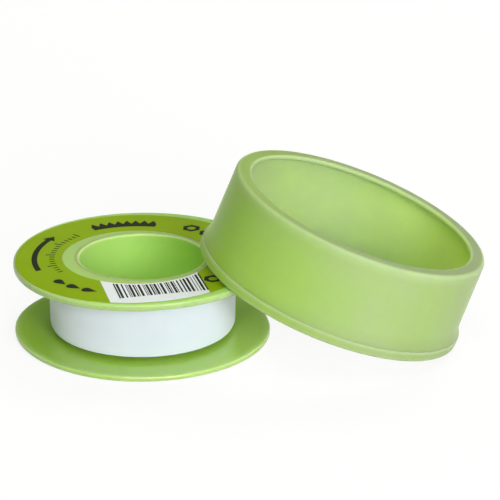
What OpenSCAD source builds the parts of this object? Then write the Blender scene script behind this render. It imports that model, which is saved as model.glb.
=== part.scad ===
// Thread seal tape roll: a two-piece plastic spool wound with white film tape, with a printed face
// label and a loose ring-shaped cover that stands on the ground and leans on the spool.
// Millimetres. The spool stands upright with its axis on +Z and its lower face on Z = 0.
// The cover leans towards +X.

/* [Tape] */
// Width of the tape
tape_w = 12; // [9:0.5:19]
// Thickness of the tape film
tape_t = 0.1; // [0.06:0.01:0.2]
// Depth of the winding on the hub
tape_depth = 4.6; // [2:0.1:9]
// Gap between the lower flange and the winding
tape_gap_low = 0.95; // [0.2:0.05:1.5]
// Gap between the winding and the upper flange
tape_gap_top = 0.4; // [0.2:0.05:1.5]
// Length of the free end that lifts off the winding
tail_l = 15; // [8:1:24]
// Stretch of the winding left bare between the free end's tip and the start of the outer turn
tail_bare = 4.8; // [2:0.2:10]
// Direction of the line where the free end lifts, in degrees from +X, seen from above
tail_dir = 100; // [80:5:140]

/* [Spool] */
// Diameter of the finger bore
bore_d = 24.4; // [20:0.2:27]
// Wall of the hub's end, which the upper flange is pressed onto
spigot_wall = 0.85; // [0.6:0.05:1.2]
// Width of the shoulder below the upper flange
shoulder_w = 0.55; // [0.3:0.05:1]
// Width of the lower flange outside the hub
flange_w = 11.4; // [9:0.1:16]
// How much less the upper flange reaches out than the lower one
flange_step = 0.05; // [0:0.05:1]
// Thickness of the lower flange
lower_flange_t = 1; // [0.7:0.05:1.6]
// Thickness of the upper flange
upper_flange_t = 1.25; // [0.7:0.05:1.6]
// Rounding of the flange edges
flange_edge = 0.35; // [0.1:0.05:0.5]
// Fillet between the lower flange and the hub
hub_fillet = 0.4; // [0.1:0.05:0.8]
// Rounding of the hub's end and of the upper flange's hole
mouth_edge = 0.2; // [0.05:0.05:0.3]

/* [Label] */
// Thickness of the face label
label_t = 0.06; // [0.04:0.01:0.3]
// Bare plastic between the hub's end and the label, if the label sat in the middle
label_inner_border = 1.4; // [1.4:0.1:4]
// Bare plastic between the label and the edge of the upper flange, if the label sat in the middle
label_outer_border = 1.5; // [1.5:0.1:3]
// How far off the spool's axis the label was stuck on, to the left and to the front
label_off_left = 1.05; // [0:0.05:1.1]
label_off_front = 0.4; // [0:0.05:0.5]

/* [Cover] */
// Thickness of the cover's wall
cover_wall = 0.55; // [0.5:0.05:1.2]
// Draft of the cover's wall, in degrees
cover_draft = 1.3; // [0.5:0.1:2]
// Rounding of the cover's top edge
cover_round = 0.85; // [0.3:0.05:1.2]
// Width of the rim that reaches inwards over the upper flange
rim_w = 2.45; // [1:0.05:4]
// Thickness of the rim
rim_t = 1; // [0.6:0.05:1.6]
// Rounding of the rim's inner edge
rim_edge = 0.25; // [0.1:0.05:0.4]
// Thickness of the lip around the cover's mouth
lip_wall = 1.5; // [1.2:0.05:2.5]
// Height of the lip
lip_h = 2; // [1.6:0.1:3]
// Rounding of the lip's edges
lip_edge = 0.35; // [0.1:0.05:0.5]
// How far the wall flares out to meet the lip
lip_flare = 0.4; // [0:0.05:0.6]
// Height of the flare above the lip
flare_h = 2.2; // [1:0.1:4]
// Height of the snap bead inside the mouth, which the lower flange rests on when the cover is on
bead_h = 1.05; // [0.8:0.05:1.4]
// Width of the lead-in at the mouth's edge
mouth_lead = 0.15; // [0.05:0.05:0.3]
// How far the snap bead reaches under the lower flange
bead_bite = 0.15; // [0.05:0.05:0.3]

/* [Lean] */
// Distance from the cover's axis to the chord where its foot crosses the upper flange's edge
seat_reach = 19; // [14:0.05:23]

/* [Clearances] */
// Between the hub and the winding, and between the turns
wind_gap = 0.03; // [0.01:0.01:0.05]
// Between the hub's end and the upper flange's hole
press_gap = 0.02; // [0.01:0.01:0.04]
// Between the upper flange and the cover's wall
cover_play = 0.1; // [0.05:0.01:0.3]
// Between the lower flange and the cover's lip
lip_play = 0.25; // [0.1:0.05:0.5]
// Between the leaning cover's foot and the top of the label
lean_gap = 0.03; // [0.01:0.01:0.1]

/* [Hidden] */
$fn = 128;

// Number of straight steps in each rounded edge of a turned outline
edge_steps = 6;

// Spool
bore_r = bore_d / 2;
spigot_r = bore_r + spigot_wall;
hub_r = spigot_r + shoulder_w;
lower_flange_r = hub_r + flange_w;
upper_flange_r = lower_flange_r - flange_step;
tape_z = lower_flange_t + tape_gap_low;
shoulder_z = tape_z + tape_w + tape_gap_top;
spool_h = shoulder_z + upper_flange_t;

// Winding: the outer turn is a spiral of two half turns, the second one centred beside the axis,
// so that a full turn climbs by one thickness of tape
tape_r = hub_r + tape_depth;
turn_climb = tape_t / 2;
turn_r = tape_r - 2 * tape_t;
core_r = turn_r - wind_gap;
far_r = turn_r + turn_climb;
tail_sweep = tail_l / far_r * 180 / PI;
bare_sweep = tail_bare / far_r * 180 / PI;
start_dir = tail_dir + tail_sweep + bare_sweep;
turn_sweep = 360 - bare_sweep;
far_centre = turn_climb * [cos(start_dir), sin(start_dir)];
// The crease where the free end lifts is twice as thick as the film, and stays clear of the turn
crease_d = 2 * tape_t;
crease_sweep = (crease_d / 2 + wind_gap) / far_r * 180 / PI;

// Label
label_ir = spigot_r + label_inner_border;
label_or = upper_flange_r - label_outer_border;

// Cover, standing on its foot with its own axis on Z. With the cover on the spool, the rim lies on
// the label and the snap bead under the lower flange.
cover_h = bead_h + spool_h + label_t + rim_t;
cover_top_ir = upper_flange_r + cover_play;
rim_r = cover_top_ir - rim_w;
groove_r = lower_flange_r + lip_play;
mouth_r = groove_r + mouth_lead;
lip_r = groove_r + lip_wall;
bead_r = lower_flange_r - bead_bite;
bead_lead = 0.4 * bead_h;
bead_top = 0.7 * bead_h;
groove_run = 0.6;

// The leaning cover: its lip stands on Z = 0 and its foot passes just over the label's edge
seat_z = spool_h + label_t + lean_gap;
foot_arm = lip_r - lip_edge + seat_reach;
lean = asin((seat_z - lip_edge) / norm([foot_arm, lip_edge])) + atan2(lip_edge, foot_arm);
seat_y = sqrt(mouth_r * mouth_r - seat_reach * seat_reach);
seat_x = sqrt(upper_flange_r * upper_flange_r - seat_y * seat_y);
cover_x = seat_x + seat_reach * cos(lean);
cover_z = (lip_r - lip_edge) * sin(lean) + lip_edge * (1 - cos(lean));

// Colours
plastic_green = [0.66, 0.82, 0.46];
cover_green = [0.69, 0.83, 0.5];
film_white = [0.93, 0.95, 0.95];
print_green = [0.53, 0.64, 0.07];

// Points along an arc about centre c, from angle a to angle b
function arc(c, r, a, b) = [
    for (i = [0 : edge_steps])
        let (t = a + (b - a) * i / edge_steps)
            c + r * [cos(t), sin(t)]
];

// A rounding no larger than half of the wall that it is on
function limited(r, wall) = min(r, 0.49 * wall);

// Outside and inside radius of the cover's wall at height s above its foot
function cover_or(s) = cover_top_ir + cover_wall + (cover_h - s) * tan(cover_draft);
function cover_ir(s) = cover_or(s) - cover_wall;

// Outline of the flare, from the lip up to the straight wall
function flare() = [
    for (i = [0 : edge_steps])
        let (k = i / edge_steps, s = lip_h + flare_h * k)
            [cover_or(s) + lip_flare * (1 - k) * (1 - k), s]
];

// Middle of the film on the outer turn, a degrees after its start
function turn_point(a) =
    a <= 180
        ? (turn_r + tape_t / 2) * [cos(start_dir + a), sin(start_dir + a)]
        : far_centre + (far_r + tape_t / 2) * [cos(start_dir + a), sin(start_dir + a)];

// Smallest gap between stretches of the outer turn, free end included, that lie half a turn apart
turn_steps = 120;
turn_points = [for (i = [0 : turn_steps]) turn_point(turn_sweep * i / turn_steps)];
half_turn = ceil(180 / turn_sweep * turn_steps);
turn_gap = min([
    for (i = [0 : len(turn_points) - 1 - half_turn])
        for (j = [i + half_turn : len(turn_points) - 1])
            norm(turn_points[i] - turn_points[j]) - tape_t
]);
echo(str("outer turn of tape: least gap to itself ", turn_gap, " mm"));

// Hub and lower flange, one moulding. The hub's end is stepped to take the upper flange.
module spool_body() {
    edge = limited(flange_edge, lower_flange_t);
    mouth = limited(mouth_edge, spigot_wall);
    root = hub_r + hub_fillet;
    color(plastic_green)
        rotate_extrude()
            polygon(concat(
                [[bore_r, 0]],
                arc([lower_flange_r - edge, edge], edge, -90, 0),
                arc([lower_flange_r - edge, lower_flange_t - edge], edge, 0, 90),
                arc([root, lower_flange_t + hub_fillet], hub_fillet, 270, 180),
                [[hub_r, shoulder_z], [spigot_r, shoulder_z]],
                arc([spigot_r - mouth, spool_h - mouth], mouth, 0, 90),
                arc([bore_r + mouth, spool_h - mouth], mouth, 90, 180)
            ));
}

// Plain disc pressed onto the hub's end, down to the shoulder
module upper_flange() {
    edge = limited(flange_edge, upper_flange_t);
    hole_r = spigot_r + press_gap;
    color(plastic_green)
        rotate_extrude()
            polygon(concat(
                [[hole_r, shoulder_z]],
                arc([upper_flange_r - edge, shoulder_z + edge], edge, -90, 0),
                arc([upper_flange_r - edge, spool_h - edge], edge, 0, 90),
                arc([hole_r + mouth_edge, spool_h - mouth_edge], mouth_edge, 90, 180)
            ));
}

// The turns below the outermost one, wound tight on the hub
module tape_inner_turns() {
    color(film_white)
        rotate_extrude()
            translate([hub_r + wind_gap, tape_z])
                square([core_r - hub_r - wind_gap, tape_w]);
}

// A stretch of film of inside radius r about an upright axis through c
module film_arc(c, r, from, sweep) {
    translate([c.x, c.y, tape_z])
        rotate([0, 0, from])
            rotate_extrude(angle = sweep)
                translate([r, 0])
                    square([tape_t, tape_w]);
}

// The outermost turn, up to the crease where its free end lifts
module tape_outer_turn() {
    color(film_white)
        union() {
            film_arc([0, 0], turn_r, start_dir, 180);
            film_arc(far_centre, far_r, start_dir + 180, turn_sweep - 180 - tail_sweep - crease_sweep);
        }
}

// The free end of the tape, lying on the winding
module tape_free_end() {
    color(film_white)
        union() {
            film_arc(far_centre, far_r, tail_dir, tail_sweep);
            translate([far_centre.x, far_centre.y, tape_z])
                rotate([0, 0, tail_dir])
                    translate([far_r + tape_t / 2, 0, 0])
                        cylinder(d = crease_d, h = tape_w);
        }
}

// Printed ring stuck on the upper flange, a little off its middle
module face_label() {
    color(print_green)
        translate([-label_off_left, -label_off_front, 0])
            rotate_extrude()
                translate([label_ir, spool_h])
                    square([label_or - label_ir, label_t]);
}

// Ring-shaped cover with an inward rim, a stout lip and a snap bead, leaning on the spool
module cover_ring() {
    top = limited(cover_round, rim_w);
    inner = limited(rim_edge, rim_t);
    lip = limited(lip_edge, lip_wall);
    color(cover_green)
        translate([cover_x, 0, cover_z])
            rotate([0, lean, 0])
                rotate_extrude()
                    polygon(concat(
                        [[mouth_r, 0]],
                        arc([lip_r - lip, lip], lip, -90, 0),
                        arc([lip_r - lip, lip_h - lip], lip, 0, 90),
                        flare(),
                        arc([cover_or(cover_h) - top, cover_h - top], top, 0, 90),
                        arc([rim_r + inner, cover_h - inner], inner, 90, 180),
                        [
                            [rim_r, cover_h - rim_t],
                            [cover_ir(cover_h - rim_t), cover_h - rim_t],
                            [cover_ir(lip_h + groove_run), lip_h + groove_run],
                            [groove_r, lip_h],
                            [groove_r, bead_h],
                            [bead_r, bead_top],
                            [bead_r, bead_lead]
                        ]
                    ));
}

spool_body();
upper_flange();
tape_inner_turns();
tape_outer_turn();
tape_free_end();
face_label();
cover_ring();
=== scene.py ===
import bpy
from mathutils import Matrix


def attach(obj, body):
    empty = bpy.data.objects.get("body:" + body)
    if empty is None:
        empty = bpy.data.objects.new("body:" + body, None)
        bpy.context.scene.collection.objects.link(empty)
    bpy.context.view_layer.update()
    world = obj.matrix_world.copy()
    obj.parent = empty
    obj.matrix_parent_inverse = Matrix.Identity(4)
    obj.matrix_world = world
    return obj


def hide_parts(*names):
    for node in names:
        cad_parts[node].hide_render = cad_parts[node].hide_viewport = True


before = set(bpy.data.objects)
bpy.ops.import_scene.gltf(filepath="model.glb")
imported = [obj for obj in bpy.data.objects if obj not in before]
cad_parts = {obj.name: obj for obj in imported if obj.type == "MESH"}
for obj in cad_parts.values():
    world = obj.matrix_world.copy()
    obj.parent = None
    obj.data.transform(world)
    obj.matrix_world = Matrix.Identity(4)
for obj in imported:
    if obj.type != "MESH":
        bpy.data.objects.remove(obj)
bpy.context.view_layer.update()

import math

import bmesh
import bpy
from mathutils import Matrix, Vector

# Spool body: the hub tube and the lower flange, one injection moulding in soft light green plastic.
# The hub's upper end is stepped down to a thin spigot, and the soft flange rises a little at its left.
# Lengths are millimetres, and a section is a list of corners (radius, height, rounding) turned about Z.
mm = 0.001
bore_r = 12.2
spigot_r = 13.05
hub_r = 13.6
lower_flange_r = 24.99
lower_flange_t = 1.0
shoulder_z = 14.35
spool_h = 15.6
foot_edge = 0.15
flange_edge = 0.35
hub_fillet = 0.4
joint_edge = 0.05
mouth_edge = 0.42
rise = 0.5
rise_towards = math.radians(185)
rise_below = 3.0
bend_power = 1.5
turn_segments = 224

# Painted light and shade: a lit and a shaded tone for the spool's outside and for its bore; the pale worn
# colour of its edges is partly a painted highlight.
spool_painted_lit = (0.390, 0.605, 0.092)
spool_painted_shade = (0.278, 0.475, 0.010)
bore_painted_lit = (0.485, 0.700, 0.225)
bore_painted_shade = (0.400, 0.790, 0.055)
spool_worn_and_highlight = (0.575, 0.750, 0.380)


def put(tree, kind, feeds, **settings):
    """Adds a node, with its settings, and feeds its inputs from sockets or from plain values."""
    node = tree.nodes.new(kind)
    for name, value in settings.items():
        setattr(node, name, value)
    for socket, feed in feeds.items():
        if isinstance(feed, bpy.types.NodeSocket):
            tree.links.new(feed, node.inputs[socket])
        else:
            node.inputs[socket].default_value = feed
    return node


def reckon(tree, operation, a, b=0.0):
    """One step of arithmetic on two values."""
    return put(tree, "ShaderNodeMath", {0: a, 1: b}, operation=operation).outputs[0]


def blended(tree, amount, first, second):
    """A colour between two colours."""
    feeds = {0: amount, 6: first, 7: second}
    return put(tree, "ShaderNodeMix", feeds, data_type="RGBA").outputs[2]


def scaled(tree, colour, share, most=0.92):
    """A colour made lighter or darker, short of pure white."""
    lit = put(tree, "ShaderNodeVectorMath", {0: colour, "Scale": share}, operation="SCALE").outputs[0]
    limit = (most, most, most)
    return put(tree, "ShaderNodeVectorMath", {0: lit, 1: limit}, operation="MINIMUM").outputs[0]


def opaque(colour):
    """A colour as sockets take it, with its fourth number."""
    return (*colour, 1.0)


def spread(tree, value, low, high, from_low=0.0, from_high=1.0):
    """Brings a value that runs between two limits to a new pair of limits."""
    feeds = {0: value, 1: from_low, 2: from_high, 3: low, 4: high}
    return put(tree, "ShaderNodeMapRange", feeds).outputs[0]


def new_finish(name):
    """A material with an empty tree, and the Object coordinates that its patterns lie on."""
    finish = bpy.data.materials.new(name)
    finish.use_nodes = True
    tree = finish.node_tree
    tree.nodes.clear()
    place = put(tree, "ShaderNodeTexCoord", {}).outputs["Object"]
    return finish, tree, place


def noise(tree, place, scale, detail=3.0, rough=0.5, stretch=None):
    """Random cloudiness from 0 to 1, drawn out along the axes where a stretch is given."""
    if stretch:
        place = put(tree, "ShaderNodeMapping", {"Vector": place, "Scale": stretch}).outputs[0]
    feeds = {"Vector": place, "Scale": scale, "Detail": detail, "Roughness": rough}
    return put(tree, "ShaderNodeTexNoise", feeds).outputs["Fac"]


def moulded_plastic(name, tones, worn_and_highlight, outer_x, inner_x, deep_to_z, painted_top_light, glow,
                    gloss, specular, sheen):
    """Soft translucent moulded plastic: a cloudy colour with faint flow lines, fine scuffs and rubbed
    edges, whose paler worn colour is also a painted highlight. Outside, a painted shade deepens it
    between the two outer_x, up to the height deep_to_z, and faces that look up get painted_top_light of
    it, a painted light above 1 and a painted shade below 1. Inner faces are matt, carry a painted light
    and shade that change between the two inner_x, and a painted glow that grows the deeper they lie, for
    light that comes through the wall."""
    # The tones are painted lit and shaded copies of one colour, for the outside and for the inside.
    light, deep, inner_painted_lit, inner_painted_shade = [opaque(tone) for tone in tones]
    finish, tree, place = new_finish(name)
    cloud = spread(tree, noise(tree, place, 120.0, 4.0), 0.0, 1.0, 0.3, 0.7)
    flow = spread(tree, noise(tree, place, 60.0, 2.0, 0.5, (1.0, 1.0, 0.15)), 0.0, 1.0, 0.35, 0.65)
    point = put(tree, "ShaderNodeSeparateXYZ", {0: place}).outputs
    # Painted shade: outside, the colour turns to the shaded tone towards -X, the side away from the key
    # lamp.
    side = spread(tree, point["X"], 0.85, 0.0, outer_x[0] * mm, outer_x[1] * mm)
    mottle = reckon(tree, "MULTIPLY", cloud, 0.15)
    low_down = spread(tree, point["Z"], 1.0, 0.0, deep_to_z * mm, 2 * deep_to_z * mm)
    painted_low_shade = reckon(tree, "MULTIPLY", side, low_down)
    outer = blended(tree, reckon(tree, "ADD", painted_low_shade, mottle), light, deep)
    # Painted light and shade: faces that look up are made lighter or darker by painted_top_light.
    top_side = put(tree, "ShaderNodeAttribute", {}, attribute_name="top_side").outputs["Fac"]
    outer = scaled(tree, outer, spread(tree, top_side, 1.0, painted_top_light))
    # Painted light and shade inside: the lit tone towards -X, the shaded tone towards +X.
    painted_inner_shade = spread(tree, point["X"], 0.0, 0.92, inner_x[0] * mm, inner_x[1] * mm)
    painted_inner_shade = reckon(tree, "POWER", painted_inner_shade, 2.0)
    core = blended(tree, reckon(tree, "ADD", painted_inner_shade, mottle), inner_painted_lit, inner_painted_shade)
    # Painted glow: inner faces grow lighter the deeper they lie, for light coming through the wall.
    depth = put(tree, "ShaderNodeAttribute", {}, attribute_name="depth_in").outputs["Fac"]
    core = scaled(tree, core, spread(tree, depth, *glow))
    inside = put(tree, "ShaderNodeAttribute", {}, attribute_name="inner_side").outputs["Fac"]
    body = blended(tree, inside, outer, core)
    streaked = blended(tree, reckon(tree, "MULTIPLY", flow, 0.12), body, opaque(worn_and_highlight))
    # The worn colour on rounded edges is partly rubbing and partly a painted highlight.
    edge = put(tree, "ShaderNodeAttribute", {}, attribute_name="edge_wear_and_highlight").outputs["Fac"]
    patches = spread(tree, noise(tree, place, 140.0), 0.45, 0.70, 0.3, 0.7)
    rubbed_and_highlit = reckon(tree, "MULTIPLY", edge, patches)
    colour = blended(tree, rubbed_and_highlit, streaked, opaque(worn_and_highlight))
    scuff = noise(tree, place, 900.0, 2.0, 0.6, (1.0, 0.09, 0.22))
    scuff = spread(tree, scuff, 0.0, 1.0, 0.62, 0.74)
    rough = spread(tree, cloud, gloss, gloss + 0.07)
    rough = reckon(tree, "ADD", rough, reckon(tree, "MULTIPLY", scuff, 0.05))
    rough = reckon(tree, "ADD", rough, reckon(tree, "MULTIPLY", rubbed_and_highlit, 0.15))
    rough = reckon(tree, "ADD", rough, reckon(tree, "MULTIPLY", inside, 0.28))
    skin = noise(tree, place, 650.0, 3.0)
    grain = noise(tree, place, 3800.0, 2.0)
    height = reckon(tree, "MULTIPLY", skin, 0.8)
    height = reckon(tree, "ADD", height, reckon(tree, "MULTIPLY", grain, 0.12))
    height = reckon(tree, "SUBTRACT", height, reckon(tree, "MULTIPLY", scuff, 0.03))
    bump = put(tree, "ShaderNodeBump", {"Height": height, "Strength": 0.35, "Distance": 0.008 * mm})
    shader = put(tree, "ShaderNodeBsdfPrincipled", {
        "Base Color": colour, "Roughness": rough, "Normal": bump.outputs[0], "IOR": 1.49,
        "Specular IOR Level": specular, "Sheen Weight": sheen, "Sheen Roughness": 0.2,
        "Sheen Tint": (0.85, 1.0, 0.55, 1.0), "Subsurface Weight": 1.0,
        "Subsurface Radius": (0.8, 1.0, 0.35), "Subsurface Scale": 2.0 * mm,
    })
    put(tree, "ShaderNodeOutputMaterial", {"Surface": shader.outputs[0]})
    return finish


def thin_edge(corner, following, narrow=1.6):
    """True for a narrow face between two rounded corners, which gets rubbed over its whole width."""
    length = math.hypot(corner[0] - following[0], corner[1] - following[1])
    return length < narrow and corner[2] > 0 and following[2] > 0


def corner_sides(corners, i):
    """The ways back and ahead from a corner, and how far its rounding reaches along both."""
    here = Vector(corners[i][:2])
    back = Vector(corners[i - 1][:2]) - here
    ahead = Vector(corners[(i + 1) % len(corners)][:2]) - here
    return back, ahead, corners[i][2] / math.tan(back.angle(ahead) / 2)


def rounded_outline(corners, fade, steps=8, stride=1.6, guard=0.04, most_room=0.4, faded_edge=0.6):
    """Closed outline of a section, with each corner rounded, as points and how worn and lit each point
    looks: a rubbed look that is also a painted highlight. That look fades out over a short way beside
    each corner. fade gives that way on level faces and on upright ones, and how strong the look is on a
    thin edge between its corners."""
    on_level, on_upright, on_thin = fade
    points = []
    for i, (radius, height, rounding) in enumerate(corners):
        here = Vector((radius, height))
        back, ahead, reach = corner_sides(corners, i)
        if rounding == 0:
            points.append((here, 0.0))
            continue
        half = back.angle(ahead) / 2
        room_back = back.length - reach - corner_sides(corners, i - 1)[2]
        room_ahead = ahead.length - reach - corner_sides(corners, (i + 1) % len(corners))[2]
        back.normalize()
        ahead.normalize()
        way_back, way_ahead = [on_upright if abs(way.y) > 0.7 else on_level for way in (back, ahead)]
        centre = here + (back + ahead).normalized() * (rounding / math.sin(half))
        first = here + back * reach - centre
        last = here + ahead * reach - centre
        start = math.atan2(first.y, first.x)
        sweep = (math.atan2(last.y, last.x) - start + math.pi) % (2 * math.pi) - math.pi
        thin_back = thin_edge(corners[i - 1], corners[i])
        thin_ahead = thin_edge(corners[i], corners[(i + 1) % len(corners)])
        gone = here + back * (reach + min(max(guard, way_back), most_room * room_back))
        points.append((gone, on_thin if thin_back else 0.0))
        for k in range(steps + 1):
            angle = start + sweep * k / steps
            least = faded_edge if (way_back if k < steps / 2 else way_ahead) > 0 else 0.0
            worn_and_lit = max(least, math.sin(math.pi * k / steps))
            if k < steps / 2 and thin_back or k > steps / 2 and thin_ahead:
                worn_and_lit = max(worn_and_lit, on_thin)
            points.append((centre + rounding * Vector((math.cos(angle), math.sin(angle))), worn_and_lit))
        gone = here + ahead * (reach + min(max(guard, way_ahead), most_room * room_ahead))
        points.append((gone, on_thin if thin_ahead else 0.0))
    filled = []
    for i, (point, worn_and_lit) in enumerate(points):
        filled.append((point, worn_and_lit))
        step = points[(i + 1) % len(points)][0] - point
        pieces = math.ceil(step.length / stride)
        filled += [(point + step * k / pieces, 0.0) for k in range(1, pieces)]
    return filled


def outline_mesh(name, outline):
    """The points of an outline, which goes round its section anticlockwise. Each holds how worn and lit
    it looks, rubbing with a painted highlight, how far it looks inwards and upwards, and how deep it
    lies."""
    mesh = bpy.data.meshes.new(name)
    mesh.from_pydata([(p.x * mm, 0.0, p.y * mm) for p, worn_and_lit in outline], [], [])
    places = [p for p, worn_and_lit in outline]
    before = places[-1:] + places[:-1]
    after = places[1:] + places[:1]
    runs = [(p - q).normalized() for p, q in zip(after, before)]
    top = max(p.y for p in places)
    foot = min(p.y for p in places)
    traits = {
        "edge_wear_and_highlight": [worn_and_lit for p, worn_and_lit in outline],
        "inner_side": [max(0.0, -run.y) for run in runs],
        "top_side": [max(0.0, -run.x) for run in runs],
        "depth_in": [(top - p.y) / (top - foot) for p in places],
    }
    for trait, values in traits.items():
        mesh.attributes.new(trait, "FLOAT", "POINT").data.foreach_set("value", values)
    return mesh


def new_tree(name, sizes):
    """A Geometry Nodes tree with a named input for each size, and one for the finish."""
    tree = bpy.data.node_groups.new(name, "GeometryNodeTree")
    tree.interface.new_socket("Start", in_out="INPUT", socket_type="NodeSocketGeometry")
    for size, kind in sizes.items():
        tree.interface.new_socket(size, in_out="INPUT", socket_type="NodeSocket" + kind)
    tree.interface.new_socket("Finish", in_out="INPUT", socket_type="NodeSocketMaterial")
    tree.interface.new_socket("Made", in_out="OUTPUT", socket_type="NodeSocketGeometry")
    return tree, tree.nodes.new("NodeGroupInput").outputs


def end_tree(tree, given, made):
    """Ends a tree: what it made becomes real geometry and gets its finish."""
    real = put(tree, "GeometryNodeRealizeInstances", {"Geometry": made})
    feeds = {"Geometry": real.outputs[0], "Material": given["Finish"]}
    dressed = put(tree, "GeometryNodeSetMaterial", feeds)
    put(tree, "NodeGroupOutput", {0: dressed.outputs[0]})
    return tree


def turning_tree():
    """Turns the points of an outline about Z, then leans the result and sets it in its place."""
    tree, given = new_tree("turned_shape", {"Segments": "Int", "Lean": "Float", "Place": "Vector"})
    outline = given["Start"]
    points = put(tree, "GeometryNodeAttributeDomainSize", {0: outline}, component="MESH").outputs[0]
    ring = reckon(tree, "ADD", points, 1.0)
    columns = reckon(tree, "ADD", given["Segments"], 1.0)
    grid = put(tree, "GeometryNodeMeshGrid", {"Vertices X": columns, "Vertices Y": ring})
    index = put(tree, "GeometryNodeInputIndex", {}).outputs[0]
    row = reckon(tree, "MODULO", reckon(tree, "MODULO", index, ring), points)
    column = reckon(tree, "FLOOR", reckon(tree, "DIVIDE", index, ring))
    place = put(tree, "GeometryNodeInputPosition", {}).outputs[0]
    sampled = put(tree, "GeometryNodeSampleIndex", {}, data_type="FLOAT_VECTOR", domain="POINT")
    tree.links.new(outline, sampled.inputs["Geometry"])
    tree.links.new(place, sampled.inputs["Value"])
    tree.links.new(row, sampled.inputs["Index"])
    section = put(tree, "ShaderNodeSeparateXYZ", {0: sampled.outputs[0]}).outputs
    angle = reckon(tree, "MULTIPLY", reckon(tree, "DIVIDE", column, given["Segments"]), 2 * math.pi)
    across = reckon(tree, "MULTIPLY", section["X"], reckon(tree, "COSINE", angle))
    along = reckon(tree, "MULTIPLY", section["X"], reckon(tree, "SINE", angle))
    turned = put(tree, "ShaderNodeCombineXYZ", {"X": across, "Y": along, "Z": section["Z"]}).outputs[0]
    shaped = put(tree, "GeometryNodeSetPosition", {"Geometry": grid.outputs[0], "Position": turned})
    marked = shaped
    for name in ("edge_wear_and_highlight", "inner_side", "top_side", "depth_in"):
        held = put(tree, "GeometryNodeInputNamedAttribute", {"Name": name}, data_type="FLOAT")
        taken = put(tree, "GeometryNodeSampleIndex", {}, data_type="FLOAT", domain="POINT")
        tree.links.new(outline, taken.inputs["Geometry"])
        tree.links.new(held.outputs[0], taken.inputs["Value"])
        tree.links.new(row, taken.inputs["Index"])
        feeds = {"Geometry": marked.outputs[0], "Name": name, "Value": taken.outputs[0]}
        marked = put(tree, "GeometryNodeStoreNamedAttribute", feeds, data_type="FLOAT", domain="POINT")
    closed = put(tree, "GeometryNodeMergeByDistance", {"Geometry": marked.outputs[0], "Distance": 1e-6})
    tilt = put(tree, "ShaderNodeCombineXYZ", {"Y": given["Lean"]}).outputs[0]
    feeds = {"Geometry": closed.outputs[0], "Translation": given["Place"], "Rotation": tilt}
    return end_tree(tree, given, put(tree, "GeometryNodeTransform", feeds).outputs[0])


def tidy_mesh(mesh, sharp_from=35.0):
    """Merges doubles, turns all faces outwards, and shades smooth where faces meet at a smaller angle."""
    work = bmesh.new()
    work.from_mesh(mesh)
    bmesh.ops.remove_doubles(work, verts=work.verts, dist=1e-7)
    bmesh.ops.recalc_face_normals(work, faces=work.faces)
    work.to_mesh(mesh)
    work.free()
    mesh.shade_smooth()
    mesh.set_sharp_from_angle(angle=math.radians(sharp_from))


def made_piece(name, start, tree, sizes, finish):
    """Runs a tree on a start mesh, and keeps what it makes as a plain mesh."""
    piece = bpy.data.objects.new(name, start)
    bpy.context.scene.collection.objects.link(piece)
    maker = piece.modifiers.new("maker", "NODES")
    maker.node_group = tree
    for socket in tree.interface.items_tree:
        if socket.name in sizes:
            maker[socket.identifier] = sizes[socket.name]
        if socket.name == "Finish":
            maker[socket.identifier] = finish
    graph = bpy.context.evaluated_depsgraph_get()
    mesh = bpy.data.meshes.new_from_object(
        piece.evaluated_get(graph), preserve_all_data_layers=True, depsgraph=graph)
    piece.modifiers.remove(maker)
    piece.data = mesh
    mesh.name = name
    tidy_mesh(mesh)
    return piece


def turned_piece(name, corners, finish, lean=0.0, place=(0.0, 0.0, 0.0), fade=(0.0, 0.0, 0.8)):
    """A piece turned from a section, as on a lathe."""
    start = outline_mesh(name + "_outline", rounded_outline(corners, fade))
    sizes = {"Segments": turn_segments, "Lean": lean, "Place": [x * mm for x in place]}
    return made_piece(name, start, turned_shape, sizes, finish)


turned_shape = turning_tree()
# Painted light on the spool: faces that look up are lit by painted_top_light 1.2, and the bore gets a
# painted glow towards its foot.
spool_green = moulded_plastic(
    "spool_green", (spool_painted_lit, spool_painted_shade, bore_painted_lit, bore_painted_shade), spool_worn_and_highlight,
    outer_x=(-24.0, 20.0), inner_x=(-36.0, 12.0), deep_to_z=3.0, painted_top_light=1.2, glow=(0.86, 1.50),
    gloss=0.14, specular=1.0, sheen=0.0)
# The worn colour, partly a painted highlight, reaches up to 4 mm over level faces beside the corners.
spool_body = turned_piece("spool_body_moulding", [
    (bore_r, 0.0, foot_edge),
    (lower_flange_r, 0.0, flange_edge),
    (lower_flange_r, lower_flange_t, flange_edge),
    (hub_r, lower_flange_t, hub_fillet),
    (hub_r, shoulder_z, 0.0),
    (spigot_r, shoulder_z, 0.0),
    (spigot_r, spool_h, joint_edge),
    (bore_r, spool_h, mouth_edge),
], spool_green, fade=(4.0, 0.0, 0.45))
for vertex in spool_body.data.vertices:
    radius = math.hypot(vertex.co.x, vertex.co.y) / mm
    if radius > hub_r and vertex.co.z < rise_below * mm:
        out = (radius - hub_r) / (lower_flange_r - hub_r)
        turn = math.atan2(vertex.co.y, vertex.co.x) - rise_towards
        vertex.co.z += rise * mm * out ** bend_power * max(0.0, math.cos(turn)) ** 2
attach(spool_body, "spool")
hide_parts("spool_body")

# Upper flange: a plain disc of the same plastic, moulded by itself and pressed onto the hub's spigot
# down to its shoulder. The soft disc sags a little at its front left.
upper_flange_r = 24.95
flange_light = (0.385, 0.607, 0.160)
flange_deep = (0.363, 0.590, 0.137)
flange_worn_and_highlight = (0.440, 0.540, 0.320)
flange_hole_r = 13.07
sag_depth = 0.5
sag_towards = math.radians(222)

flange_tones = (flange_light, flange_deep, flange_light, flange_deep)
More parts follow.
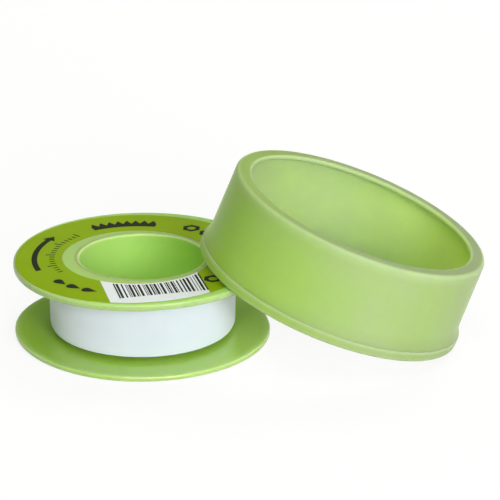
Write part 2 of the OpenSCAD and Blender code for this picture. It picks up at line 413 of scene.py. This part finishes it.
# Painted light: faces of the flange that look up are lit by painted_top_light 1.35, and its worn edges
# are partly a painted highlight.
flange_green = moulded_plastic(
    "flange_green", flange_tones, flange_worn_and_highlight,
    outer_x=(-60.0, -40.0), inner_x=(-60.0, -40.0), deep_to_z=3.0, painted_top_light=1.35, glow=(1.0, 1.0),
    gloss=0.18, specular=0.4, sheen=0.0)
upper_flange = turned_piece("upper_flange_disc", [
    (flange_hole_r, shoulder_z, 0.0),
    (upper_flange_r, shoulder_z, flange_edge),
    (upper_flange_r, spool_h, flange_edge),
    (flange_hole_r, spool_h, joint_edge),
], flange_green)


def let_sag(piece):
    """Lets a piece on the upper flange follow the disc's sag."""
    for vertex in piece.data.vertices:
        radius = math.hypot(vertex.co.x, vertex.co.y) / mm
        out = max(0.0, radius - hub_r) / (upper_flange_r - hub_r)
        turn = math.atan2(vertex.co.y, vertex.co.x) - sag_towards
        vertex.co.z -= sag_depth * mm * out ** bend_power * max(0.0, math.cos(turn)) ** 2


let_sag(upper_flange)
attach(upper_flange, "spool")
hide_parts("upper_flange")

# Tape: one strip of thin white film, wound tight on the hub in 44 turns, with its lower edge curled in a
# little. Its last 15 mm lie loose on the winding, and lift at an upright crease.
tape_z = 1.95
tape_w = 12.0
tape_pitch = 0.1
tape_t = 0.09
curl = 0.35
curl_h = 1.2
film_heights = (0.0, 0.3, 0.7, curl_h, tape_w)
crease = Vector((-3.19081, 17.8398))
crease_gap = 0.13
tail_l = 15.0
crease_bead = 0.1
edge_wander = 0.25
hub_gap = 0.03
tape_in_r = hub_r + hub_gap + tape_pitch / 2
tape_out_r = crease.length
tape_turns = (tape_out_r - tape_in_r) / tape_pitch
crease_at = math.atan2(crease.y, crease.x)
film_white = (0.700, 0.740, 0.830)
film_shade = (0.670, 0.712, 0.800)


def film_finish():
    """Soft white film with fine lines along its length and a faint cloudiness from stretching."""
    finish, tree, place = new_finish("white_film")
    cloud = spread(tree, noise(tree, place, 160.0, 3.0), 0.0, 1.0, 0.35, 0.7)
    lines = noise(tree, place, 1.0, 3.0, 0.6, (60.0, 60.0, 2600.0))
    colour = blended(tree, cloud, opaque(film_white), opaque(film_shade))
    lined = blended(tree, spread(tree, lines, 0.0, 0.25, 0.5, 0.8), colour, opaque(film_shade))
    rough = spread(tree, lines, 0.38, 0.52, 0.3, 0.7)
    height = reckon(tree, "ADD", lines, reckon(tree, "MULTIPLY", cloud, 0.6))
    bump = put(tree, "ShaderNodeBump", {"Height": height, "Strength": 0.25, "Distance": 0.02 * mm})
    shader = put(tree, "ShaderNodeBsdfPrincipled", {
        "Base Color": lined, "Roughness": rough, "Normal": bump.outputs[0], "IOR": 1.36,
        "Diffuse Roughness": 0.7, "Sheen Weight": 0.05, "Sheen Roughness": 0.4,
    })
    put(tree, "ShaderNodeOutputMaterial", {"Surface": shader.outputs[0]})
    return finish


def film_ring(half):
    """Section of the film as (across, up), with close points near its lower edge."""
    outer_face = [(half, height) for height in film_heights]
    inner_face = [(-half, height) for height in reversed(film_heights)]
    return outer_face + inner_face


def film_section():
    """The section as a closed line. It is turned over here, and stands upright on the spiral."""
    mesh = bpy.data.meshes.new("film_section")
    ring = film_ring(tape_t / 2)
    links = [(i, (i + 1) % len(ring)) for i in range(len(ring))]
    mesh.from_pydata([(across * mm, -up * mm, 0.0) for across, up in ring], links, [])
    return mesh


def winding_tree():
    """Winds a film, given by its section, into a spiral; the edges of the turns wander a little, and the
    outer turns curl in at their lower edge."""
    tree, given = new_tree("wound_film", {
        "Turns": "Float", "Steps per turn": "Int", "Inner radius": "Float", "Outer radius": "Float",
        "Start angle": "Float", "Foot": "Float", "Curl": "Float", "Curl height": "Float",
        "Wander": "Float",
    })
    spiral = put(tree, "GeometryNodeCurveSpiral", {
        "Resolution": given["Steps per turn"], "Rotations": given["Turns"], "Height": 0.0,
        "Start Radius": given["Inner radius"], "End Radius": given["Outer radius"], "Reverse": True,
    })
    run = put(tree, "GeometryNodeSplineParameter", {}).outputs
    feeds = {"Geometry": spiral.outputs[0], "Name": "run", "Value": run["Length"]}
    measured = put(tree, "GeometryNodeStoreNamedAttribute", feeds, data_type="FLOAT", domain="POINT")
    feeds = {"Geometry": measured.outputs[0], "Name": "wound", "Value": run["Factor"]}
    measured = put(tree, "GeometryNodeStoreNamedAttribute", feeds, data_type="FLOAT", domain="POINT")
    upright = put(tree, "GeometryNodeSetCurveNormal", {"Curve": measured.outputs[0]}, mode="Z_UP")
    section = put(tree, "GeometryNodeMeshToCurve", {"Mesh": given["Start"]})
    strip = put(tree, "GeometryNodeCurveToMesh", {
        "Curve": upright.outputs[0], "Profile Curve": section.outputs[0], "Fill Caps": True})
    length = put(tree, "GeometryNodeInputNamedAttribute", {"Name": "run"}, data_type="FLOAT").outputs[0]
    wound = put(tree, "GeometryNodeInputNamedAttribute", {"Name": "wound"}, data_type="FLOAT").outputs[0]
    feeds = {"W": length, "Scale": 14.0, "Detail": 1.0}
    drift = put(tree, "ShaderNodeTexNoise", feeds, noise_dimensions="1D").outputs["Fac"]
    drift = reckon(tree, "MULTIPLY", reckon(tree, "SUBTRACT", drift, 0.5), given["Wander"])
    drift = reckon(tree, "MULTIPLY", drift, reckon(tree, "SUBTRACT", 1.0, wound))
    lift = put(tree, "ShaderNodeCombineXYZ", {"Z": reckon(tree, "ADD", given["Foot"], drift)}).outputs[0]
    place = put(tree, "GeometryNodeInputPosition", {}).outputs[0]
    spot = put(tree, "ShaderNodeSeparateXYZ", {0: place}).outputs
    out = put(tree, "ShaderNodeCombineXYZ", {"X": spot["X"], "Y": spot["Y"]}).outputs[0]
    out = put(tree, "ShaderNodeVectorMath", {0: out}, operation="NORMALIZE").outputs[0]
    near = spread(tree, spot["Z"], 1.0, 0.0, 0.0, given["Curl height"])
    pull = reckon(tree, "MULTIPLY", reckon(tree, "POWER", near, 2.0), given["Curl"])
    pull = reckon(tree, "MULTIPLY", pull, reckon(tree, "MULTIPLY", wound, -1.0))
    inward = put(tree, "ShaderNodeVectorMath", {0: out, "Scale": pull}, operation="SCALE").outputs[0]
    curled = put(tree, "GeometryNodeSetPosition", {"Geometry": strip.outputs[0], "Offset": inward})
    raised = put(tree, "GeometryNodeSetPosition", {"Geometry": curled.outputs[0], "Offset": lift})
    turn = put(tree, "ShaderNodeCombineXYZ", {"Z": given["Start angle"]}).outputs[0]
    feeds = {"Geometry": raised.outputs[0], "Rotation": turn}
    return end_tree(tree, given, put(tree, "GeometryNodeTransform", feeds).outputs[0])


white_film = film_finish()
winding_end = crease_at - crease_gap / tape_out_r
tape_winding = made_piece("tape_winding", film_section(), winding_tree(), {
    "Turns": tape_turns,
    "Steps per turn": 120,
    "Inner radius": tape_in_r * mm,
    "Outer radius": tape_out_r * mm,
    "Start angle": winding_end - 2 * math.pi * tape_turns,
    "Foot": tape_z * mm,
    "Curl": curl * mm,
    "Curl height": curl_h * mm,
    "Wander": edge_wander * mm,
}, white_film)
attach(tape_winding, "spool")
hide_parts("tape_inner_turns", "tape_outer_turn")


def free_end_mesh():
    """The loose end: a strip along the winding, thickened at its root where the film is creased."""
    stations = [crease_bead * -math.cos(math.pi * k / 12) for k in range(1, 11)]
    stations += [crease_bead + (tail_l - crease_bead) * k / 48 for k in range(49)]
    work = bmesh.new()
    rings = []
    for along in stations:
        half = math.sqrt(max(0.0, crease_bead ** 2 - along ** 2))
        if along >= 0:
            half = max(half, tape_t / 2)
        angle = crease_at + along / tape_out_r
        middle = tape_out_r + tape_pitch * along / (2 * math.pi * tape_out_r)
        ring = []
        for off, height in film_ring(half):
            radius = middle + off - curl * max(0.0, 1 - height / curl_h) ** 2
            place = Vector((radius * math.cos(angle), radius * math.sin(angle), tape_z + height))
            ring.append(work.verts.new(place * mm))
        rings.append(ring)
    for low, high in zip(rings, rings[1:]):
        for k in range(len(low)):
            after = (k + 1) % len(low)
            work.faces.new((low[k], low[after], high[after], high[k]))
    work.faces.new(rings[0])
    work.faces.new(rings[-1])
    mesh = bpy.data.meshes.new("tape_free_end_film")
    work.to_mesh(mesh)
    work.free()
    tidy_mesh(mesh, sharp_from=50.0)
    return mesh


tape_end = bpy.data.objects.new("tape_free_end_film", free_end_mesh())
bpy.context.scene.collection.objects.link(tape_end)
tape_end.data.materials.append(white_film)
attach(tape_end, "tape_end")
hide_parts("tape_free_end")

# Face label: a ring of thin printed film, cut clean at both edges and stuck on the upper flange by hand,
# a little off its middle. Its ground colour is olive.
label_in_r = 14.45
label_out_r = 23.45
label_t = 0.06
label_at = Vector((-1.05, -0.4))
label_top = spool_h + label_t
olive = (0.298, 0.455, 0.003)
olive_deep = (0.270, 0.415, 0.002)


def printed_finish(name, ground, second, rough_low, rough_high, specular):
    """Printed film: an even coat of ink with fine printing grain and slow changes of density."""
    finish, tree, place = new_finish(name)
    grain = noise(tree, place, 5200.0, 2.0)
    density = spread(tree, noise(tree, place, 95.0, 3.0), 0.0, 1.0, 0.3, 0.7)
    amount = reckon(tree, "MULTIPLY", density, 0.6)
    amount = reckon(tree, "ADD", amount, reckon(tree, "MULTIPLY", grain, 0.4))
    colour = blended(tree, amount, opaque(ground), opaque(second))
    rough = spread(tree, density, rough_low, rough_high)
    bump = put(tree, "ShaderNodeBump", {"Height": grain, "Strength": 0.15, "Distance": 0.008 * mm})
    shader = put(tree, "ShaderNodeBsdfPrincipled", {
        "Base Color": colour, "Roughness": rough, "Normal": bump.outputs[0], "IOR": 1.45,
        "Specular IOR Level": specular,
    })
    put(tree, "ShaderNodeOutputMaterial", {"Surface": shader.outputs[0]})
    return finish


label_print = printed_finish(
    "label_olive", olive, olive_deep, rough_low=0.42, rough_high=0.55, specular=0.05)
face_label = turned_piece("face_label_film", [
    (label_in_r, spool_h, 0.0),
    (label_out_r, spool_h, 0.0),
    (label_out_r, label_top, 0.0),
    (label_in_r, label_top, 0.0),
], label_print, place=(label_at.x, label_at.y, 0.0))
let_sag(face_label)
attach(face_label, "spool")
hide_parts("face_label")

# Print on the label: a white panel between two straight cuts, with ruled bars on it, and plain marks in
# dark ink on the olive ground. All of it is ink, a hundredth of a millimetre thick.
ink_t = 0.012
panel_lay = math.radians(-74)
panel_low = -10.45
panel_high = 8.4
bar_foot = 20.3
bar_unit = 0.15
bars_in = 2.0
bars_off_hole = 0.5
panel_white = (0.900, 0.925, 0.960)
panel_grey = (0.870, 0.895, 0.930)
ink_black = (0.012, 0.016, 0.010)
ink_thin = (0.030, 0.038, 0.020)
down_panel = Vector((math.cos(panel_lay), math.sin(panel_lay)))
across_panel = Vector((-math.sin(panel_lay), math.cos(panel_lay)))


def slab_mesh(name, grids, low, high):
    """Thin closed slabs of ink, one on each grid of points on the label's plane."""
    work = bmesh.new()
    for grid in grids:
        layers = []
        for z in (low * mm, high * mm):
            layers.append([[work.verts.new((p.x * mm, p.y * mm, z)) for p in row] for row in grid])
        rows = len(grid)
        columns = len(grid[0])
        for layer in layers:
            for i in range(rows - 1):
                for j in range(columns - 1):
                    work.faces.new((layer[i][j], layer[i + 1][j], layer[i + 1][j + 1], layer[i][j + 1]))
        rim = [(i, 0) for i in range(rows)]
        rim += [(rows - 1, j) for j in range(1, columns)]
        rim += [(i, columns - 1) for i in range(rows - 2, -1, -1)]
        rim += [(0, j) for j in range(columns - 2, 0, -1)]
        below, above = [[layer[i][j] for i, j in rim] for layer in layers]
        for k in range(len(rim)):
            work.faces.new((below[k - 1], below[k], above[k], above[k - 1]))
    mesh = bpy.data.meshes.new(name)
    work.to_mesh(mesh)
    work.free()
    return mesh


def printed_piece(name, mesh, finish):
    """A piece of print on the label."""
    piece = bpy.data.objects.new(name, mesh)
    bpy.context.scene.collection.objects.link(piece)
    mesh.materials.append(finish)
    tidy_mesh(mesh)
    let_sag(piece)
    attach(piece, "spool")


def panel_grid(columns=48, rows=8, margin=0.03):
    """Points of the panel, which ends at the label's hole and at its outer edge."""
    grid = []
    for i in range(columns + 1):
        across = panel_low + (panel_high - panel_low) * i / columns
        off = across_panel * across - label_at
        lead = off.dot(down_panel)
        beside = off.length_squared - lead ** 2
        inner = math.sqrt((label_in_r + margin) ** 2 - beside) - lead
        outer = math.sqrt((label_out_r - margin) ** 2 - beside) - lead
        down = [inner + (outer - inner) * j / rows for j in range(rows + 1)]
        grid.append([across_panel * across + down_panel * d for d in down])
    return grid


def bars_tree():
    """Ruled bars of made-up widths side by side; their upper ends follow the label's hole."""
    tree, given = new_tree("ruled_bars", {
        "Bars": "Int", "Unit": "Float", "First": "Float", "Foot": "Float", "Hole": "Float",
        "Hole across": "Float", "Hole down": "Float", "Lay": "Float", "Height": "Float",
        "Thickness": "Float", "Seed": "Int",
    })
    line = put(tree, "GeometryNodeMeshLine", {"Count": given["Bars"]})
    bar = put(tree, "FunctionNodeRandomValue", {4: 1, 5: 3, "Seed": given["Seed"]}, data_type="INT")
    second_seed = reckon(tree, "ADD", given["Seed"], 1.0)
    gap = put(tree, "FunctionNodeRandomValue", {4: 1, 5: 3, "Seed": second_seed}, data_type="INT")
    width = reckon(tree, "MULTIPLY", bar.outputs[2], given["Unit"])
    pace = reckon(tree, "ADD", width, reckon(tree, "MULTIPLY", gap.outputs[2], given["Unit"]))
    before = put(tree, "GeometryNodeAccumulateField", {0: pace}, data_type="FLOAT").outputs["Trailing"]
    edge = reckon(tree, "ADD", before, given["First"])
    middle = reckon(tree, "ADD", edge, reckon(tree, "MULTIPLY", width, 0.5))
    beside = reckon(tree, "SUBTRACT", middle, given["Hole across"])
    chord = reckon(tree, "POWER", given["Hole"], 2.0)
    chord = reckon(tree, "SUBTRACT", chord, reckon(tree, "POWER", beside, 2.0))
    head = reckon(tree, "ADD", reckon(tree, "SQRT", chord), given["Hole down"])
    length = reckon(tree, "SUBTRACT", given["Foot"], head)
    down = reckon(tree, "MULTIPLY", reckon(tree, "ADD", given["Foot"], head), 0.5)
    spot = put(tree, "ShaderNodeCombineXYZ", {"X": down, "Y": middle, "Z": given["Height"]}).outputs[0]
    spots = put(tree, "GeometryNodeSetPosition", {"Geometry": line.outputs[0], "Position": spot})
    block = put(tree, "GeometryNodeMeshCube", {"Size": (1.0, 1.0, 1.0), "Vertices X": 4})
    feeds = {"X": length, "Y": width, "Z": given["Thickness"]}
    size = put(tree, "ShaderNodeCombineXYZ", feeds).outputs[0]
    feeds = {"Points": spots.outputs[0], "Instance": block.outputs[0], "Scale": size}
    bars = put(tree, "GeometryNodeInstanceOnPoints", feeds)
    turn = put(tree, "ShaderNodeCombineXYZ", {"Z": given["Lay"]}).outputs[0]
    feeds = {"Geometry": bars.outputs[0], "Rotation": turn}
    return end_tree(tree, given, put(tree, "GeometryNodeTransform", feeds).outputs[0])


def mark_grid(stations):
    """A band round the label's middle, from stations of (angle, inner radius, outer radius)."""
    grid = []
    for angle, inner, outer in stations:
        out = Vector((math.cos(math.radians(angle)), math.sin(math.radians(angle))))
        middle = label_at + out * (inner + outer) / 2
        grid.append([label_at + out * inner, middle, label_at + out * outer])
    return grid


def arrow_mark(start, neck, end, radius, half, head_half, tip_half=0.02):
    """A curved arrow that shows which way the tape is wound. Its head starts close to the shaft's end."""
    stations = [(start + (neck - start) * k / 24, radius - half, radius + half) for k in range(25)]
    for k in (0.05, 1, 2, 3, 4, 5):
        wide = head_half * (1 - int(k) / 6)
        stations.append((neck + (end - neck) * k / 6, radius - wide, radius + wide))
    return stations + [(end, radius - tip_half, radius + tip_half)]


def thread_mark(start, end, radius, teeth, depth, half):
    """A toothed band like the section of a pipe thread."""
    steps = teeth * 2
    return [(start + (end - start) * k / steps, radius - half, radius + half + depth * (k % 2))
            for k in range(steps + 1)]


def drop_mark(angle, radius, length, half):
    """A drop whose point lies along the label."""
    stations = []
    for k in range(17):
        t = k / 16
        width = half * math.sin(math.pi * t ** 0.6) * (1 - 0.35 * t) + 0.004
        turn = math.degrees(length * (t - 0.5) / radius)
        stations.append((angle + turn, radius - width, radius + width))
    return stations


def nut_mark(angle, radius, hole, flat, round_trip=6.28):
    """A six-sided nut with a round hole, seen from above, with a hairline where its ends meet."""
    middle = label_at + radius * Vector((math.cos(math.radians(angle)), math.sin(math.radians(angle))))
    grid = []
    for k in range(49):
        turn = round_trip * k / 48
        out = Vector((math.cos(turn), math.sin(turn)))
        edge = flat / math.cos((turn + math.pi / 6) % (math.pi / 3) - math.pi / 6)
        grid.append([middle + out * hole, middle + out * edge])
    return grid


def ticks_tree():
    """Short ticks in a row round the label's middle, every fifth one longer."""
    tree, given = new_tree("row_of_ticks", {
        "Ticks": "Int", "First": "Float", "Step": "Float", "Radius": "Float", "Length": "Float",
        "Width": "Float", "Thickness": "Float", "Place": "Vector",
    })
    line = put(tree, "GeometryNodeMeshLine", {"Count": given["Ticks"]})
    index = put(tree, "GeometryNodeInputIndex", {}).outputs[0]
    fifth = reckon(tree, "LESS_THAN", reckon(tree, "MODULO", index, 5.0), 0.5)
    longer = reckon(tree, "ADD", 1.0, reckon(tree, "MULTIPLY", fifth, 0.8))
    length = reckon(tree, "MULTIPLY", given["Length"], longer)
    angle = reckon(tree, "ADD", given["First"], reckon(tree, "MULTIPLY", index, given["Step"]))
    middle = reckon(tree, "ADD", given["Radius"], reckon(tree, "MULTIPLY", length, 0.5))
    across = reckon(tree, "MULTIPLY", middle, reckon(tree, "COSINE", angle))
    along = reckon(tree, "MULTIPLY", middle, reckon(tree, "SINE", angle))
    spot = put(tree, "ShaderNodeCombineXYZ", {"X": across, "Y": along}).outputs[0]
    spots = put(tree, "GeometryNodeSetPosition", {"Geometry": line.outputs[0], "Position": spot})
    block = put(tree, "GeometryNodeMeshCube", {"Size": (1.0, 1.0, 1.0)})
    feeds = {"X": length, "Y": given["Width"], "Z": given["Thickness"]}
    size = put(tree, "ShaderNodeCombineXYZ", feeds).outputs[0]
    turn = put(tree, "ShaderNodeCombineXYZ", {"Z": angle}).outputs[0]
    feeds = {"Points": spots.outputs[0], "Instance": block.outputs[0], "Rotation": turn, "Scale": size}
    ticks = put(tree, "GeometryNodeInstanceOnPoints", feeds)
    feeds = {"Geometry": ticks.outputs[0], "Translation": given["Place"]}
    return end_tree(tree, given, put(tree, "GeometryNodeTransform", feeds).outputs[0])


panel_print = printed_finish(
    "label_white", panel_white, panel_grey, rough_low=0.42, rough_high=0.55, specular=0.2)
ink_print = printed_finish(
    "label_ink", ink_black, ink_thin, rough_low=0.40, rough_high=0.55, specular=0.05)
ink_top = label_top + ink_t
panel_mesh = slab_mesh("label_panel", [panel_grid()], label_top, ink_top)
printed_piece("label_panel", panel_mesh, panel_print)
bars = made_piece("label_bars", bpy.data.meshes.new("bars_start"), bars_tree(), {
    "Bars": 30,
    "Unit": bar_unit * mm,
    "First": (panel_low + bars_in) * mm,
    "Foot": bar_foot * mm,
    "Hole": (label_in_r + bars_off_hole) * mm,
    "Hole across": label_at.dot(across_panel) * mm,
    "Hole down": label_at.dot(down_panel) * mm,
    "Lay": panel_lay,
    "Height": (label_top + 1.5 * ink_t) * mm,
    "Thickness": ink_t * mm,
    "Seed": 5,
}, ink_print)
let_sag(bars)
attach(bars, "spool")
ticks = made_piece("label_ticks", bpy.data.meshes.new("ticks_start"), ticks_tree(), {
    "Ticks": 19,
    "First": math.radians(140),
    "Step": math.radians(4),
    "Radius": 15.9 * mm,
    "Length": 1.0 * mm,
    "Width": 0.36 * mm,
    "Thickness": ink_t * mm,
    "Place": [label_at.x * mm, label_at.y * mm, (label_top + ink_t / 2) * mm],
}, ink_print)
let_sag(ticks)
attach(ticks, "spool")
marks = [
    mark_grid(arrow_mark(start=204.0, neck=156.0, end=150.0, radius=19.8, half=0.55, head_half=1.43)),
    mark_grid(thread_mark(start=124.0, end=82.0, radius=17.6, teeth=8, depth=1.7, half=0.8)),
]
for angle in (226.0, 236.5, 247.0):
    marks.append(mark_grid(drop_mark(angle, radius=19.2, length=3.2, half=1.0)))
for angle in (59.0, 46.0, -36.0):
    marks.append(nut_mark(angle, radius=18.9, hole=0.85, flat=1.65))
printed_piece("label_marks", slab_mesh("label_marks", marks, label_top, ink_top), ink_print)

# Cover ring: a loose ring of the same kind of plastic, moulded with an inward rim, a stout lip round its
# mouth and a bead inside that snaps under the lower flange. It stands on its lip and leans on the spool.
cover_lean = math.radians(20.1892)
cover_at = (36.2267, 0.0, 9.1327)
cover_h = 17.70
cover_top_r = 25.585
cover_wall = 0.55
cover_draft = math.tan(math.radians(1.3))
rim_r = 22.6
rim_t = 1.0
lip_r = 26.71
lip_h = 2.0
mouth_r = 25.4
groove_r = 25.25
bead_r = 24.85
groove_z = 1.05
bead_top = 0.735
bead_foot = 0.42
bead_edge = 0.1
flare = 0.5
flare_h = 2.8
flare_steps = 10
inner_wall_z = lip_h + 0.6
lip_edge = 0.35
top_edge = 0.87
rim_edge = 0.45
rim_fillet = 0.8
# Painted light and shade: a lit and a shaded tone for the cover's outside and for its inside; the shaded
# inside tone is the vivid green of light through the wall, and the worn colour of its edges is partly a
# painted highlight.
cover_painted_lit = (0.392, 0.490, 0.240)
cover_painted_shade = (0.350, 0.585, 0.005)
inside_painted_lit = (0.385, 0.480, 0.250)
inside_painted_shade = (0.625, 0.880, 0.150)
cover_worn_and_highlight = (0.500, 0.620, 0.370)


def wall_out(height):
    """Radius of the wall's outer face, which widens a little towards the mouth."""
    return cover_top_r + (cover_h - height) * cover_draft


def flare_corner(part):
    """A corner on the wall's flare, from 0 at the lip to 1 where the straight wall starts."""
    height = lip_h + flare_h * part
    return (wall_out(height) + flare * (1 - part) ** 2, height, 0.0)


# The cover's outside gets painted shade towards -X, its rim top a painted shade from painted_top_light
# 0.77, and its inside painted light and shade with a painted glow towards the mouth.
cover_green = moulded_plastic(
    "cover_green", (cover_painted_lit, cover_painted_shade, inside_painted_lit, inside_painted_shade), cover_worn_and_highlight,
    outer_x=(10.0, 42.0), inner_x=(36.0, 66.0), deep_to_z=100.0, painted_top_light=0.77, glow=(0.96, 1.18),
    gloss=0.34, specular=0.12, sheen=0.40)
# By the rim and the lip the worn colour, partly a painted highlight, spreads up to 1.2 mm over upright
# faces.
cover_ring = turned_piece("cover_ring_moulding", [
    (mouth_r, 0.0, 0.0),
    (lip_r, 0.0, lip_edge),
    (lip_r, lip_h, lip_edge),
    *[flare_corner(k / flare_steps) for k in range(flare_steps + 1)],
    (cover_top_r, cover_h, top_edge),
    (rim_r, cover_h, rim_edge),
    (rim_r, cover_h - rim_t, rim_edge),
    (wall_out(cover_h - rim_t) - cover_wall, cover_h - rim_t, rim_fillet),
    (wall_out(inner_wall_z) - cover_wall, inner_wall_z, 0.0),
    (groove_r, lip_h, 0.0),
    (groove_r, groove_z, 0.0),
    (bead_r, bead_top, bead_edge),
    (bead_r, bead_foot, bead_edge),
], cover_green, lean=cover_lean, place=cover_at, fade=(0.0, 1.2, 0.3))
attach(cover_ring, "cover")
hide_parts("cover_ring")

# Studio: a plain white floor that keeps the soft shadow, white surroundings, and large soft lamps.
# The light is plain and even, a little stronger from the front right, and what is white is white only to
# the eye and in the gloss, so that the surroundings add little light of their own.
floor_half = 2.5
floor_white = (0.88, 0.88, 0.88, 1.0)
floor_bright = (0.90, 0.90, 0.90, 1.0)
floor_bounce = (0.45, 0.48, 0.36, 1.0)
floor_glow = 1.06
glow_share = 0.80
pure_white = (1.0, 1.0, 1.0, 1.0)
sky_tint = (0.92, 1.0, 0.66, 1.0)
sky_light = 0.15
sky_dark = 0.10
sky_fall = (0.12, 0.26)
lamp_aim = Vector((0.02, 0.0, 0.01))
lamp_size = 0.45
floor_mesh = bpy.data.meshes.new("studio_floor")
floor_mesh.from_pydata(
    [(-floor_half, -floor_half, 0.0), (floor_half, -floor_half, 0.0),
     (floor_half, floor_half, 0.0), (-floor_half, floor_half, 0.0)], [], [(0, 1, 2, 3)])
floor = bpy.data.objects.new("studio_floor", floor_mesh)
bpy.context.scene.collection.objects.link(floor)


def seen_directly(tree):
    """1 for rays that come straight from the camera, or by a mirror or through glass."""
    path = put(tree, "ShaderNodeLightPath", {}).outputs
    direct = reckon(tree, "MAXIMUM", path["Is Camera Ray"], path["Is Glossy Ray"])
    return reckon(tree, "MAXIMUM", direct, path["Is Transmission Ray"])


floor_finish, tree, place = new_finish("studio_floor")
floor_tone = blended(tree, noise(tree, place, 6.0), floor_white, floor_bright)
floor_tone = blended(tree, seen_directly(tree), floor_bounce, floor_tone)
paper = put(tree, "ShaderNodeBsdfDiffuse", {"Color": floor_tone})
glow = put(tree, "ShaderNodeEmission", {"Color": pure_white, "Strength": floor_glow})
share = reckon(tree, "MULTIPLY", seen_directly(tree), glow_share)
lit_paper = put(tree, "ShaderNodeMixShader", {0: share, 1: paper.outputs[0], 2: glow.outputs[0]})
put(tree, "ShaderNodeOutputMaterial", {"Surface": lit_paper.outputs[0]})
floor_mesh.materials.append(floor_finish)

world = bpy.data.worlds.new("studio")
world.use_nodes = True
bpy.context.scene.world = world
tree = world.node_tree
tree.nodes.clear()
direction = put(tree, "ShaderNodeTexCoord", {}).outputs["Generated"]
upwards = put(tree, "ShaderNodeSeparateXYZ", {0: direction}).outputs["Z"]
soft = put(tree, "ShaderNodeBackground", {"Color": sky_tint, "Strength": sky_light})
fall = spread(tree, upwards, 1.0, sky_dark, *sky_fall)
white = put(tree, "ShaderNodeBackground", {"Color": pure_white, "Strength": fall})
sky = put(tree, "ShaderNodeMixShader", {0: seen_directly(tree), 1: soft.outputs[0], 2: white.outputs[0]})
put(tree, "ShaderNodeOutputWorld", {"Surface": sky.outputs[0]})


def lamp(name, at, power, in_gloss=True):
    """A round soft lamp. One that isn't in the gloss leaves no reflection of itself."""
    light = bpy.data.lights.new(name, "AREA")
    light.shape = "DISK"
    light.size = lamp_size
    light.energy = power
    stand = bpy.data.objects.new(name, light)
    bpy.context.scene.collection.objects.link(stand)
    stand.visible_glossy = in_gloss
    stand.location = at
    stand.rotation_euler = (lamp_aim - Vector(at)).to_track_quat("-Z", "Y").to_euler()


lamp("key_lamp", (0.475, -0.857, 0.252), 6.9)
lamp("front_lamp", (0.020, -0.705, 0.267), 1.5)
lamp("high_lamp", (0.020, -0.375, 0.660), 1.2)
lamp("back_lamp", (0.308, 0.411, 0.567), 1.4)
lamp("right_lamp", (0.659, -0.298, 0.267), 0.4)
lamp("rear_lamp", (-0.284, 0.434, 0.540), 0.6)
lamp("low_back_lamp", (0.060, 0.740, 0.160), 1.4, in_gloss=False)

# Camera: a long lens, set up where the photograph was taken from, a little above the roll and in front of
# it. Its place, turn and lens were found by fitting the spool's circles to the photograph.
camera_at = Vector((30.81, -389.16, 165.4))
yaw = math.radians(1.46)
pitch = math.radians(20.84)
roll = math.radians(0.52)
camera_data = bpy.data.cameras.new("camera")
camera_data.sensor_fit = "HORIZONTAL"
camera_data.sensor_width = 36.0
camera_data.lens = 154.9
camera_data.clip_start = 0.01
camera_data.clip_end = 20.0
camera = bpy.data.objects.new("camera", camera_data)
bpy.context.scene.collection.objects.link(camera)
turn = Matrix.Rotation(yaw, 4, "Z") @ Matrix.Rotation(math.pi / 2 - pitch, 4, "X")
turn = turn @ Matrix.Rotation(roll, 4, "Z")
camera.matrix_world = Matrix.Translation(camera_at * mm) @ turn
bpy.context.scene.camera = camera
bpy.context.scene.view_settings.view_transform = "Standard"
